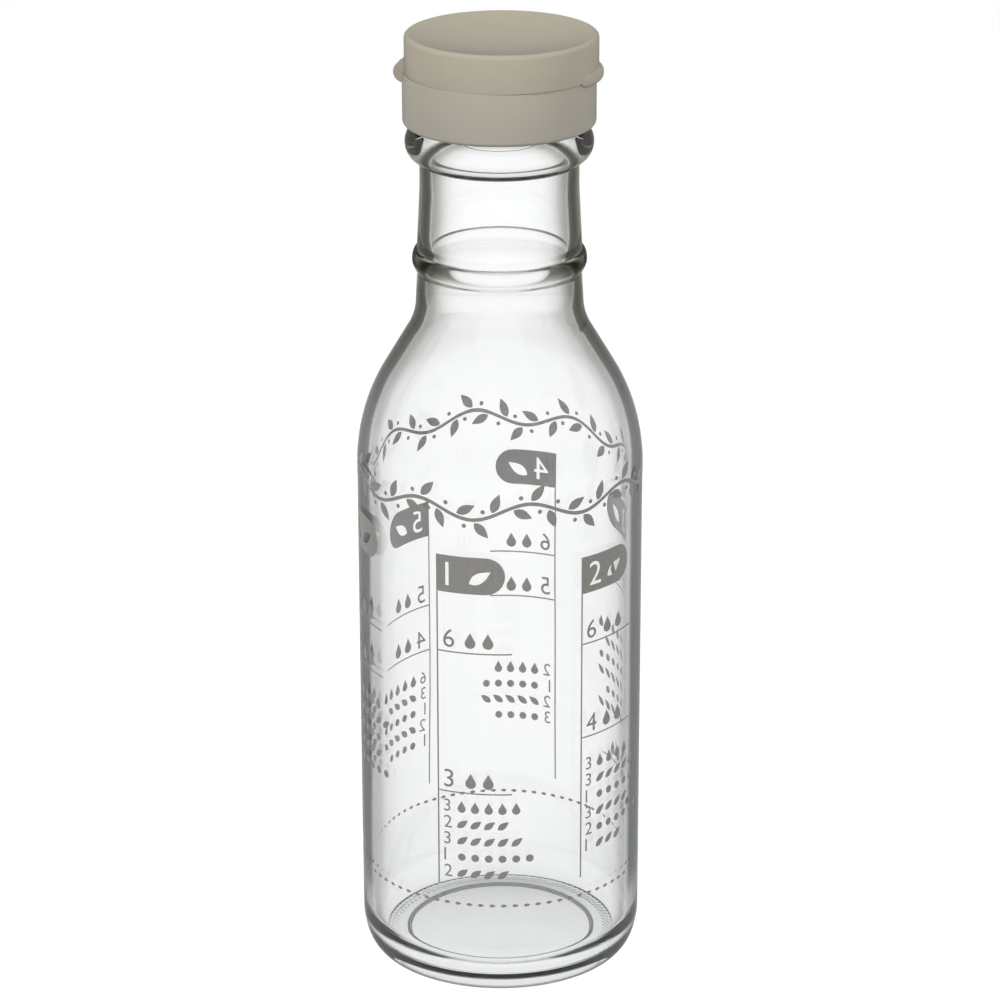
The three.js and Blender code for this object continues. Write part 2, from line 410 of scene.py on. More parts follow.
closureShape = {
    "turn": -12.0,
    "radius": 20.95,
    "collarInset": 0.015,        # how far each half stands inside the model's own radius
    "lidInset": 0.005,
    "sealThickness": 0.9,
    "sealInset": 0.3,
    "sealRound": 0.2,
    "clearance": 0.35,
    "skirt": 19.05,
    "mouthEase": 0.3,
    "shelfRise": 11.3,           # from the bead to the top of the skirt's bore
    "collarHeight": 11.55,
    "bottomRound": 1.0,
    "deck": 1.65,
    "seam": 0.3,
    "edge": 0.25,
    "spigotHeight": 1.0,
    "spigotWall": 1.2,
    "spigotClearance": 0.3,
    "spoutBore": 8.0,
    "spoutWall": 1.5,
    "spoutHeight": 3.2,
    "spoutFillet": 0.5,
    "spoutRound": 0.3,
    "spoutLip": 0.55,
    "spoutLipShare": 0.6,        # of a quarter turn that the lip's round goes below its middle
    "lidOffset": 0.5,
    "lidWall": 1.5,
    "lidPlate": 1.25,
    "lidCorner": 0.6,
    "rimRound": 1.0,
    "rimCrest": 0.12,            # width over which the rim turns into the dish
    "dishDepth": 2.5,
    "meetGap": 0.015,            # the lid all but touches the deck
    "meetEdge": 0.02,
    "ledgeRound": 0.12,
    "plugClearance": 0.3,
    "plugTaper": 0.5,
    "plugWall": 1.3,
    "plugDepth": 3.8,
    "plugEase": 0.2,
    "plugNose": (0.3, 0.4),      # how wide and how high its outer edge is broken
    "lidSeal": 1.0,
    "lidSealGap": 0.3,
    "tabRadius": 12.7,
    "tabProud": 1.65,
    "tabThickness": 3.4,
    "tabDrop": 1.6,
    "tabRound": 1.5,
    "tabClearance": 0.3,
    "hingeInset": 1.37,
    "knuckle": 2.35,
    "knuckleChamfer": 0.2,
    "lidKnuckle": 2.2,
    "hingeHalf": 6.5,
    "lidKnuckleHalf": 2.6,
    "knuckleGap": 0.3,
    "pin": 1.0,
    "pinChamfer": 0.15,          # the lid's knuckle has it too
    "pinClearance": 0.1,
    "pinEndWall": 0.9,
    "sides": 192,
    "hingeSides": 64,
    "plugSides": 96,
    "tabSides": 128,
    "sealSides": 160,
    "sharpAngle": 32,
}

deckBottom = heights["lip"] + closureShape["sealThickness"]
deckTop = deckBottom + closureShape["deck"]
collarBottom = deckTop - closureShape["collarHeight"]
hingeHeight = deckTop + closureShape["seam"] / 2
hingeReach = closureShape["radius"] - closureShape["hingeInset"]
lidBottom = deckTop + closureShape["seam"]
spoutTop = deckTop + closureShape["spoutHeight"]
lidUnder = spoutTop + closureShape["lidSealGap"] + closureShape["lidSeal"]
lidTop = lidUnder + closureShape["lidPlate"] + closureShape["dishDepth"]
closureTurn = Matrix.Rotation(math.radians(closureShape["turn"]), 4, "Z")


def hingeBar(name, radius, low, high, chamfer=0.0):
    # A round bar on the hinge's axis, along Y, between two places on it
    profile = [(0, low), (radius - chamfer, low), (radius, low + chamfer),
               (radius, high - chamfer), (radius - chamfer, high), (0, high)]
    bar = turnedPiece(name, profile, closureShape["hingeSides"])
    lay = Matrix.Translation((-hingeReach * mm, 0, hingeHeight * mm)) @ Matrix.Rotation(-quarterTurn, 4, "X")
    return moveMesh(bar, lay)


def shapeCollar(s, thread):
    skin = s["radius"] - s["collarInset"]
    low = s["bottomRound"]
    meet = s["ledgeRound"]
    edge = s["edge"]
    fillet = s["spoutFillet"]
    lip = s["spoutLip"]
    rim = s["spoutRound"]
    shelf = heights["bead"] + s["shelfRise"] + s["clearance"]
    sealSeat = bottleShape["finishRadius"] + s["clearance"]
    spoutOuter = s["spoutBore"] + s["spoutWall"]
    spigotOuter = s["radius"] - s["lidWall"] - s["lidOffset"] - s["spigotClearance"]
    spigotInner = spigotOuter - s["spigotWall"]
    spigotTop = deckTop + s["spigotHeight"]
    profile = [(s["skirt"] + s["mouthEase"], collarBottom)]
    profile += roundPoints(skin - low, collarBottom + low, low, -quarterTurn, 0, 8)
    profile += roundPoints(skin - meet, deckTop - meet, meet, 0, quarterTurn, 4)
    profile += [(spigotOuter, deckTop)]
    profile += roundPoints(spigotOuter - edge, spigotTop - edge, edge, 0, quarterTurn, 4)
    profile += [(spigotInner, spigotTop), (spigotInner, deckTop)]
    profile += roundPoints(spoutOuter + fillet, deckTop + fillet, fillet, -quarterTurn, -math.pi, 5)
    profile += [(spoutOuter, spoutTop - lip * 2)]
    profile += roundPoints(spoutOuter, spoutTop - lip, lip, -quarterTurn * s["spoutLipShare"], quarterTurn, 8)
    profile += roundPoints(s["spoutBore"] + rim, spoutTop - rim, rim, quarterTurn, math.pi, 4)
    profile += [(s["spoutBore"], deckBottom), (sealSeat, deckBottom)]
    profile += [(sealSeat, heights["lip"] - s["sealThickness"])]
    profile += linePoints((s["skirt"], shelf), (s["skirt"], collarBottom + s["mouthEase"]), 30)
    delay = thread["collarDelay"]
    startHeight = thread["startHeight"] - thread["pitch"] / 2 + thread["pitch"] * delay
    startAngle = thread["startAngle"] + fullTurn * delay - math.radians(s["turn"])

    def shape(angle, x, z):
        if abs(x - s["skirt"]) > hair or z > shelf:
            return x, z
        return x - threadDepth(thread, "collar", angle, z, startHeight, startAngle), z

    collar = turnedPiece("screw_collar", profile, s["sides"], shape)
    slotRadius = s["lidKnuckle"] + s["knuckleGap"]
    slotHalf = s["lidKnuckleHalf"] + s["knuckleGap"]
    joinShape(collar, hingeBar("slot", slotRadius, -slotHalf, slotHalf), "DIFFERENCE")
    slot = boxPiece("slot", (-s["radius"] - overrun, -slotHalf, hingeHeight - slotRadius),
                    (-hingeReach, slotHalf, lidTop))
    joinShape(collar, slot, "DIFFERENCE")
    for side in (-1, 1):
        low, high = sorted((side * slotHalf, side * s["hingeHalf"]))
        joinShape(collar, hingeBar("knuckle", s["knuckle"], low, high, s["knuckleChamfer"]), "UNION")
    boreEnd = s["pinEndWall"] - s["hingeHalf"]
    joinShape(collar, hingeBar("bore", s["pin"] + s["pinClearance"], boreEnd, s["radius"]), "DIFFERENCE")
    return moveMesh(collar, closureTurn)


def shapeThumbTab(s, inner):
    # A flat round crescent: a disc set off towards +X, less the room of the lid and the collar
    bottom = hingeHeight - s["tabDrop"]
    top = bottom + s["tabThickness"]
    edge = s["tabRound"]
    profile = [(0, bottom)]
    profile += roundPoints(s["tabRadius"] - edge, bottom + edge, edge, -quarterTurn, 0, 10)
    profile += roundPoints(s["tabRadius"] - edge, top - edge, edge, 0, quarterTurn, 10)
    profile += [(0, top)]
    centre = s["radius"] + s["tabProud"] - s["tabRadius"]
    tab = moveMesh(turnedPiece("tab", profile, s["tabSides"]), Matrix.Translation((centre * mm, 0, 0)))
    for name, reach, roof, offset in (("core", inner + s["lidWall"] / 2, lidTop, s["lidOffset"]),
                                      ("under", s["radius"] + s["tabClearance"], lidBottom, 0)):
        floor = bottom - overrun
        room = turnedPiece(name, [(0, floor), (reach, floor), (reach, roof), (0, roof)], s["sides"])
        joinShape(tab, moveMesh(room, Matrix.Translation((offset * mm, 0, 0))), "DIFFERENCE")
    return tab


def shapeLid(s):
    inner = s["radius"] - s["lidWall"]
    radius = s["radius"] - s["lidInset"]
    corner = s["lidCorner"]
    edge = s["meetEdge"]
    skirtEnd = deckTop + s["meetGap"]
    rim = radius - s["rimRound"]
    dishRadius = (rim ** 2 + s["dishDepth"] ** 2) / (2 * s["dishDepth"])
    dishAngle = math.asin(rim / dishRadius) * (1 - s["rimCrest"] / rim)
    dishCentre = lidTop - s["dishDepth"] + dishRadius
    profile = [(0, lidUnder)]
    profile += roundPoints(inner - corner, lidUnder - corner, corner, quarterTurn, 0, 5)
    profile += [(inner, skirtEnd)]
    profile += roundPoints(radius - edge, skirtEnd + edge, edge, -quarterTurn, 0, 4)
    profile += roundPoints(rim, lidTop - s["rimRound"], s["rimRound"], 0, quarterTurn, 10)
    profile += roundPoints(0, dishCentre, dishRadius, dishAngle - quarterTurn, -quarterTurn, 24)
    lid = turnedPiece("flip_lid", profile, s["sides"])
    moveMesh(lid, Matrix.Translation((s["lidOffset"] * mm, 0, 0)))

    plugOuter = s["spoutBore"] - s["plugClearance"]
    plugInner = plugOuter - s["plugWall"]
    plugEnd = plugOuter - s["plugTaper"]
    noseWidth, noseHeight = s["plugNose"]
    bottom = lidUnder - s["plugDepth"]
    root = lidUnder + s["lidPlate"] / 2
    plug = [(plugInner + s["plugEase"], bottom), (plugEnd - noseWidth, bottom),
            (plugEnd, bottom + noseHeight), (plugOuter, lidUnder), (plugOuter, root), (plugInner, root),
            (plugInner, bottom + s["plugEase"])]
    joinShape(lid, turnedPiece("plug", plug, s["plugSides"]), "UNION")
    joinShape(lid, shapeThumbTab(s, inner), "UNION")

    half = s["lidKnuckleHalf"]
    for side in (-1, 1):
        low, high = sorted((side * half, side * (s["hingeHalf"] + s["knuckleGap"])))
        joinShape(lid, hingeBar("room", s["knuckle"] + s["knuckleGap"], low, high), "DIFFERENCE")
    joinShape(lid, hingeBar("knuckle", s["lidKnuckle"], -half, half, s["pinChamfer"]), "UNION")
    bore = hingeBar("bore", s["pin"] + s["pinClearance"], -s["hingeHalf"], s["hingeHalf"])
    joinShape(lid, bore, "DIFFERENCE")
    return moveMesh(lid, closureTurn)


def sealRing(name, inner, outer, bottom, top):
    s = closureShape
    edge = s["sealRound"]
    profile = []
    for x, z, start in ((outer - edge, bottom + edge, -quarterTurn), (outer - edge, top - edge, 0),
                        (inner + edge, top - edge, quarterTurn), (inner + edge, bottom + edge, math.pi)):
        profile += roundPoints(x, z, edge, start, start + quarterTurn, 4)
    return turnedPiece(name, profile, s["sealSides"])


def shapeNeckSeal(s):
    glass = bottleShape["finishRadius"]
    return sealRing("neck_seal_ring", glass - bottleShape["wall"] + s["sealInset"], glass,
                    heights["lip"], deckBottom)


def shapeLidSeal(s):
    inner = s["spoutBore"] - s["plugClearance"] + s["pinClearance"]
    outer = s["spoutBore"] + s["spoutWall"] + s["spoutLip"]
    return sealRing("lid_seal_ring", inner, outer, lidUnder - s["lidSeal"], lidUnder)


def shapePin(s):
    low = s["pinEndWall"] + s["pinClearance"] - s["hingeHalf"]
    return moveMesh(hingeBar("hinge_rod", s["pin"], low, s["hingeHalf"], s["pinChamfer"]), closureTurn)


collar = shapeCollar(closureShape, screwThread)
lid = shapeLid(closureShape)
neckSeal = shapeNeckSeal(closureShape)
lidSeal = shapeLidSeal(closureShape)
pin = shapePin(closureShape)
for piece in (collar, lid, neckSeal, lidSeal, pin):
    smoothOver(piece, closureShape["sharpAngle"])
print("closure shaped", [(p.name, len(p.data.polygons)) for p in (collar, lid)])


# Print: a plain grey measuring design of the maker's own, wrapped round the glass

printDesign = {
    "depth": 0.03,               # thickness of the ink
    "clear": 0.015,              # how far it stands off the facets of the glass
    "facet": 1.0,                # widest face once wrapped
    "facetStart": 0.37,          # share of a facet at which the first cut lies
    "rule": 0.36,
    "ruleBottom": 27.0,
    "gap": 0.05,                 # between shapes that all but meet
    "tabWidth": 15.5,
    "tabHeight": 8.6,
    "tabNumber": (2.2, 7.0, 5.4),  # from the rule, below the tab's top, and its height
    "tabLeaf": (7.6, 6.2, 5.6, 2.4),  # from the rule, below the tab's top, its length and width
    "tabLeafTilt": 32,
    "sixLevel": 83.3,            # height of the surface of six fluid ounces
    "perOunce": 11.19,
    "levelLine": 0.32,
    "levelLength": 17.0,
    "levelNumber": (1.6, 1.2, 4.3),  # from the rule, above the line, and its height
    "levelDrops": (6.4, 1.3, 3.87),  # the same for the two drops beside it
    "rowNumber": 1.5,
    "rowMarks": 4.6,
    "rowSize": 3.0,
    "rowStep": 4.0,
    "dotsHeight": 22.6,
    "dotsStep": 2.6,
    "dotSize": (1.5, 0.75),
    "vineHeight": 116.5,
    "vineWaves": 8,
    "vineWave": 1.8,
    "vineSteps": 360,
    "stemHalf": 0.42,
    "vineLeaves": 48,
    "vineLeaf": (0.9, 4.6, 2.1),  # off the middle of the stem, its length and width
    "vineLeafTilt": 48,
    "berry": (0.4, 1.7, 0.5),    # along the stem, off its middle, and its radius
}

# Each column: its place round the bottle in degrees, the tab's number and top, its levels, the height of its
# top row, and its rows, which count spoonfuls: a number, a mark and how many of it
printColumns = [
    (-26, 1, 106.0, (6, 3), 45.0,
     ((3, "drop", 5), (2, "leaf", 4), (3, "leaf", 5), (1, "dot", 6), (2, "leaf", 4))),
    (34, 2, 104.0, (6, 4), 53.0,
     ((3, "drop", 4), (3, "leaf", 5), (1, "dot", 5), (3, "leaf", 4), (2, "dot", 6), (1, "leaf", 3))),
    (94, 3, 105.0, (6, 2), 70.0,
     ((2, "drop", 5), (1, "leaf", 4), (4, "dot", 5), (1, "leaf", 5), (2, "dot", 4), (1, "leaf", 5))),
    (154, 4, 108.5, (6, 5), 53.0, ((2, "drop", 4), (1, "dot", 5), (2, "leaf", 5), (3, "dot", 4))),
    (214, 5, 98.0, (5, 4), 53.0,
     ((6, "drop", 5), (3, "leaf", 4), (1, "dot", 5), (2, "leaf", 5), (1, "dot", 4))),
    (274, 6, 108.0, (6, 5), 64.0,
     ((2, "drop", 4), (3, "leaf", 5), (1, "dot", 4), (2, "leaf", 4), (2, "dot", 5))),
]

# Each mark in shares of its size, and its angles in degrees
markShares = {
    "step": 1.02,
    "drop": (0.35, 0.95),        # across, and its height
    "dropRadius": 0.33,          # of the drop's own height
    "dropOpening": 30,           # above its middle, where its round end meets its point
    "leaf": (0.1, 1.05, 0.5),    # up, its length and width
    "leafTilt": 38,
    "leafFullness": 0.8,
    "dot": (0.35, 0.38, 0.3),    # across, up, and its radius
}


def numeralOutlines():
    # Closed outlines of each digit of Blender's own font, one unit high, from its left edge
    outlines = {}
    for digit in "0123456789":
        data = bpy.data.curves.new("numeral", "FONT")
        data.body = digit
        holder = placeObject("numeral", data)
        graph = bpy.context.evaluated_depsgraph_get()
        curve = holder.evaluated_get(graph).to_curve(graph)
        loops = []
        for spline in curve.splines:
            points = list(spline.bezier_points)
            loop = []
            for a, b in zip(points, points[1:] + points[:1]):
                curved = interpolate_bezier(a.co, a.handle_right, b.handle_left, b.co, 9)
                loop += [(p.x, p.y) for p in curved[:-1]]
            loops.append(loop)
        holder.to_curve_clear()
        bpy.data.objects.remove(holder)
        left = min(x for loop in loops for x, _ in loop)
        low = min(y for loop in loops for _, y in loop)
        tall = max(y for loop in loops for _, y in loop) - low
        outlines[digit] = [[((x - left) / tall, (y - low) / tall) for x, y in loop] for loop in loops]
    return outlines


numerals = numeralOutlines()


def numeralLoops(digit, x, y, size):
    return [[(x + px * size, y + py * size) for px, py in loop] for loop in numerals[digit]]


def barLoop(x0, y0, x1, y1):
    return [(x0, y0), (x1, y0), (x1, y1), (x0, y1)]


def leafLoop(x, y, length, width, tilt):
    shares = [t / 10 for t in range(11)]
    upper = [(length * t, width / 2 * math.sin(math.pi * t ** markShares["leafFullness"])) for t in shares]
    lower = [(px, -py) for px, py in upper[-2:0:-1]]
    cos, sin = math.cos(tilt), math.sin(tilt)
    return [(x + px * cos - py * sin, y + px * sin + py * cos) for px, py in upper + lower]


def dropLoop(x, y, size):
    # A drop that stands on its round end
    radius = size * markShares["dropRadius"]
    opening = math.radians(markShares["dropOpening"])
    belly = roundPoints(x, y + radius, radius, opening, -math.pi - opening, 14)
    return belly[::-1] + [(x, y + size)]


def dotLoop(x, y, radius, steps=14):
    return roundPoints(x, y, radius, 0, fullTurn, steps)[:-1]


def tabLoop(x, top, width, height):
    # A plain tab with a round end on the right
    radius = height / 2
    end = roundPoints(x + width - radius, top - radius, radius, -quarterTurn, quarterTurn, 12)
    return [(x, top - height)] + end + [(x, top)]


def outerRadius(z):
    s = bottleShape
    bend = s["shoulderRound"] - s["skinInset"]
    rise = max(0, z - s["wallTop"])
    return s["bodyRadius"] - s["shoulderRound"] + math.sqrt(bend ** 2 - rise ** 2)


def cutIntoStrips(bm, axis, first, step):
    normal = Vector((axis == 0, axis == 1, 0))
    last = max(v.co[axis] for v in bm.verts)
    place = first
    while place < last:
        bmesh.ops.bisect_plane(bm, geom=bm.verts[:] + bm.edges[:] + bm.faces[:], plane_co=normal * place,
                               plane_no=normal)
        place += step


def printedPiece(name, loops, middle, curvedUp=False):
    # Fills the outlines, cuts them into narrow faces, thickens them and wraps them round the bottle
    d = printDesign
    data = bpy.data.curves.new(name, "CURVE")
    data.dimensions = "2D"
    data.fill_mode = "BOTH"
    for loop in loops:
        spline = data.splines.new("POLY")
        spline.points.add(len(loop) - 1)
        for point, (x, y) in zip(spline.points, loop):
            point.co = (x, y, 0, 1)
        spline.use_cyclic_u = True
    holder = placeObject(name, data)
    graph = bpy.context.evaluated_depsgraph_get()
    flat = bpy.data.meshes.new_from_object(holder.evaluated_get(graph))
    bpy.data.objects.remove(holder)
    bm = bmesh.new()
    bm.from_mesh(flat)
    bpy.data.meshes.remove(flat)
    bmesh.ops.remove_doubles(bm, verts=bm.verts[:], dist=tiny)
    left = min(v.co.x for v in bm.verts)
    cutIntoStrips(bm, 0, math.floor(left) + d["facet"] * d["facetStart"], d["facet"])
    if curvedUp:
        cutIntoStrips(bm, 1, bottleShape["wallTop"], d["facet"])
    for face in bm.faces:
        if face.normal.z < 0:
            face.normal_flip()
    faces = bm.faces[:]
    rims = [e for e in bm.edges if len(e.link_faces) == 1]
    raised = {v: bm.verts.new((v.co.x, v.co.y, d["depth"])) for v in bm.verts[:]}
    for edge in rims:
        a, b = edge.verts
        if edge.link_loops[0].vert != a:
            a, b = b, a
        bm.faces.new((a, b, raised[b], raised[a]))
    for face in faces:
        bm.faces.new([raised[v] for v in face.verts])
        face.normal_flip()
    for v in bm.verts:
        r = outerRadius(v.co.y) + d["clear"] + v.co.z - d["depth"] / 2
        angle = math.radians(middle) + v.co.x / bottleShape["bodyRadius"]
        v.co = Vector((r * math.sin(angle), -r * math.cos(angle), v.co.y)) * mm
    cleanSeams(bm)
    return makeObject(name, bm, isTurnedOut=True)


def markLoop(kind, x, y, size):
    if kind == "drop":
        across, tall = markShares["drop"]
        return dropLoop(x + size * across, y, size * tall)
    if kind == "leaf":
        up, length, width = markShares["leaf"]
        return leafLoop(x, y + size * up, size * length, size * width, math.radians(markShares["leafTilt"]))
    across, up, radius = markShares["dot"]
    return dotLoop(x + size * across, y + size * up, size * radius)


def markLoops(kind, x, y, size, count):
    return [markLoop(kind, x + i * size * markShares["step"], y, size) for i in range(count)]


def columnLoops(number, tabTop, levels, z, rows):
    d = printDesign
    loops = [barLoop(0, d["ruleBottom"], d["rule"], tabTop - d["tabHeight"] - d["gap"])]
    loops.append(tabLoop(0, tabTop, d["tabWidth"], d["tabHeight"]))
    across, below, size = d["tabNumber"]
    loops += numeralLoops(str(number), across, tabTop - below, size)
    across, below, length, width = d["tabLeaf"]
    loops.append(leafLoop(across, tabTop - below, length, width, math.radians(d["tabLeafTilt"])))
    for level in levels:
        line = d["sixLevel"] + (level - 6) * d["perOunce"]
        loops.append(barLoop(d["rule"] + d["gap"], line, d["levelLength"], line + d["levelLine"]))
        across, above, size = d["levelNumber"]
        loops += numeralLoops(str(level), across, line + above, size)
        across, above, size = d["levelDrops"]
        loops += markLoops("drop", across, line + above, size, 2)
    for amount, kind, count in rows:
        loops += numeralLoops(str(amount), d["rowNumber"], z, d["rowSize"])
        loops += markLoops(kind, d["rowMarks"], z, d["rowSize"], count)
        z -= d["rowStep"]
    return loops


def vineLoops():
    d = printDesign
    span = fullTurn * bottleShape["bodyRadius"]
    shift = 0.002                # of the way round, over which the stem's slope is taken

    def stem(t):
        return span * t, d["vineHeight"] + d["vineWave"] * math.sin(fullTurn * d["vineWaves"] * t)

    line = [stem(i / d["vineSteps"]) for i in range(d["vineSteps"] + 1)]
    loops = [[(x, y - d["stemHalf"]) for x, y in line] + [(x, y + d["stemHalf"]) for x, y in line[::-1]]]
    away, length, width = d["vineLeaf"]
    berryAlong, berryAway, berryRadius = d["berry"]
    leaves = d["vineLeaves"]
    for i in range(leaves):
        t = (i + 0.5) / leaves
        x, y = stem(t)
        side = 1 if i % 2 else -1
        slope = math.atan2(stem(t + shift)[1] - stem(t - shift)[1], span * shift * 2)
        tilt = slope + side * math.radians(d["vineLeafTilt"])
        loops.append(leafLoop(x + away * math.cos(tilt), y + away * math.sin(tilt), length, width, tilt))
        if i < leaves - 1:
            x, y = stem((i + 1) / leaves)
            loops.append(dotLoop(x + berryAlong, y - side * berryAway, berryRadius))
    return loops


def footLoops():
    d = printDesign
    span = fullTurn * bottleShape["bodyRadius"]
    count = round(span / d["dotsStep"])
    return [leafLoop(span * i / count, d["dotsHeight"], *d["dotSize"], 0) for i in range(count)]


def makePrint():
    pieces = [printedPiece(f"print_column_{column[0]}", columnLoops(*column), middle)
              for middle, *column in printColumns]
    pieces.append(printedPiece("print_vine", vineLoops(), 0, curvedUp=True))
    pieces.append(printedPiece("print_foot_band", footLoops(), 0))
    return pieces


printPieces = makePrint()
print("print made", sum(len(p.data.polygons) for p in printPieces), "faces")


# Helpers for materials

white = (1, 1, 1, 1)


def newMaterial(name):
    material = bpy.data.materials.new(name)
    material.use_nodes = True
    tree = material.node_tree
    return material, tree, tree.nodes["Principled BSDF"]


def setInputs(tree, node, values):
    # A socket of another node is linked, and any other value is set
    for key, value in values.items():
        if isinstance(value, bpy.types.NodeSocket):
            tree.links.new(value, node.inputs[key])
        else:
            node.inputs[key].default_value = value
    return node


def addNode(tree, kind, values=None, **settings):
    node = tree.nodes.new("ShaderNode" + kind)
    for key, value in settings.items():
        setattr(node, key, value)
    return setInputs(tree, node, values or {})


def workOut(tree, operation, *values, **settings):
    return addNode(tree, "Math", dict(enumerate(values)), operation=operation, **settings).outputs[0]


def asColor(value):
    # A plain number is a grey
    return value if isinstance(value, tuple) else (value,) * 3


def rampColor(tree, factor, stops):
    node = addNode(tree, "ValToRGB", {"Fac": factor})
    ramp = node.color_ramp
    while len(ramp.elements) > 1:
        ramp.elements.remove(ramp.elements[-1])
    for i, (place, color) in enumerate(stops):
        element = ramp.elements[0] if i == 0 else ramp.elements.new(place)
        element.position = place
        element.color = (*asColor(color), 1)
    return node.outputs["Color"]


def mixColors(tree, factor, first, second, blend="MIX"):
    mix = addNode(tree, "Mix", data_type="RGBA", blend_type=blend)
    return setInputs(tree, mix, {0: factor, 6: first, 7: second}).outputs[2]


def mixShaders(tree, factor, first, second):
    return addNode(tree, "MixShader", {"Fac": factor, 1: first, 2: second}).outputs["Shader"]


def noise(tree, place, scale, detail, roughness=0.5):
    values = {"Vector": place, "Scale": scale, "Detail": detail, "Roughness": roughness}
    return addNode(tree, "TexNoise", values).outputs["Fac"]


def bump(tree, height, strength, distance):
    values = {"Height": height, "Strength": strength, "Distance": distance}
    return addNode(tree, "Bump", values).outputs["Normal"]


def shareBetween(tree, value, low, high):
    values = {"Value": value, "From Min": low, "From Max": high}
    return addNode(tree, "MapRange", values).outputs["Result"]


def spreadOver(tree, share, low, high):
    values = {"Value": share, "To Min": low, "To Max": high}
    return addNode(tree, "MapRange", values).outputs["Result"]


def linear(r, g, b):
    # A colour as a screen shows it, from 0 to 255, as the renderer wants it
    return tuple((v / 255 / 12.92) if v <= 10 else ((v / 255 + 0.055) / 1.055) ** 2.4 for v in (r, g, b))


# Materials

ringLevel = heights["ring"] * mm
glassLook = {
    "ior": 1.5,
    "roughness": 0.0,
    "color": (0.986, 0.989, 0.99, 1),
    "shadow": (0.93, 0.94, 0.94, 1),
    "absorb": (0.64, 0.73, 0.74, 1),
    "density": 8.0,
    # Painted shade: share of the light that the skin lets through, by how slantwise it is met, darkened to
    # stand for the dark surroundings seen through the glass: from outside,
    "bodyOutside": [(0.0, 1.0), (0.33, 0.97), (0.46, 0.94), (0.55, 0.86), (0.61, 0.81),
                    (0.69, (0.6, 0.61, 0.6)), (0.8, (0.49, 0.5, 0.49)), (0.95, (0.53, 0.54, 0.53)),
                    (1.0, (0.68, 0.69, 0.68))],
    "neckOutside": [(0.0, 1.0), (0.23, 0.97), (0.32, (0.91, 0.91, 0.9)), (0.38, (0.86, 0.86, 0.85)),
                    (0.46, (0.74, 0.74, 0.72)), (0.55, (0.55, 0.55, 0.52)), (0.69, (0.36, 0.36, 0.33)),
                    (0.81, (0.33, 0.33, 0.3)), (0.92, (0.42, 0.42, 0.4)), (1.0, (0.7, 0.71, 0.69))],
    # and from within, where it is thrown back just past the critical angle: painted dark bands along the
    # inner wall
    "bodyInside": [(0.0, 1.0), (0.25, 1.0), (0.264, (0.2, 0.21, 0.21)), (0.3, (0.19, 0.2, 0.2)),
                   (0.322, (0.3, 0.31, 0.31)), (0.345, (0.7, 0.71, 0.71)), (0.375, 1.0)],
    "neckInside": [(0.0, 1.0), (0.25, 1.0), (0.262, (0.16, 0.16, 0.13)), (0.298, (0.06, 0.06, 0.05)),
                   (0.322, (0.14, 0.14, 0.11)), (0.347, (0.45, 0.45, 0.41)), (0.37, (0.88, 0.88, 0.86)),
                   (0.4, 1.0)],
    # The upper half of the neck's ring bends the light down its wall, and is painted dark but for its front
    "ringOutside": [(0.0, 1.0), (0.11, 0.96), (0.15, (0.75, 0.76, 0.74)), (0.18, (0.2, 0.21, 0.17)),
                    (0.5, (0.11, 0.12, 0.09)), (0.85, (0.15, 0.16, 0.13)), (1.0, (0.4, 0.41, 0.39))],
    "ringFrom": 0.0168,          # distance from the axis from which the ring's look holds
    # The step round the push-up gets a painted thin dark line where it is left at a slant
    "stepInside": [(0.0, 1.0), (0.3, 1.0), (0.36, (0.3, 0.31, 0.31)), (0.6, (0.25, 0.26, 0.26)),
                   (1.0, (0.6, 0.61, 0.61))],
    "stepTop": 0.0026,
    "stepReach": 0.0225,
    # Zones by height in metres: how much of the neck's, the ring's and the heel's painted dark bands hold
    "zones": [(0.0, (0, 0, 1)), (0.012, (0, 0, 1)), (0.02, (0, 0, 0)), (0.13, (0, 0, 0)), (0.156, (1, 0, 0)),
              (ringLevel - 0.0003, (1, 0, 0)), (ringLevel + 0.0001, (1, 1, 0)),
              (ringLevel + 0.0024, (1, 1, 0)), (ringLevel + 0.0026, (1, 0, 0))],
    "zoneTop": 0.25,
}


def slantRamp(tree, facing, stops):
    # The coat's tint works along its slanted depth, so a wanted share is taken to the power of the cosine
    taken = [(at, tuple(v ** (1 - at) for v in asColor(color))) for at, color in stops]
    return rampColor(tree, facing, taken)


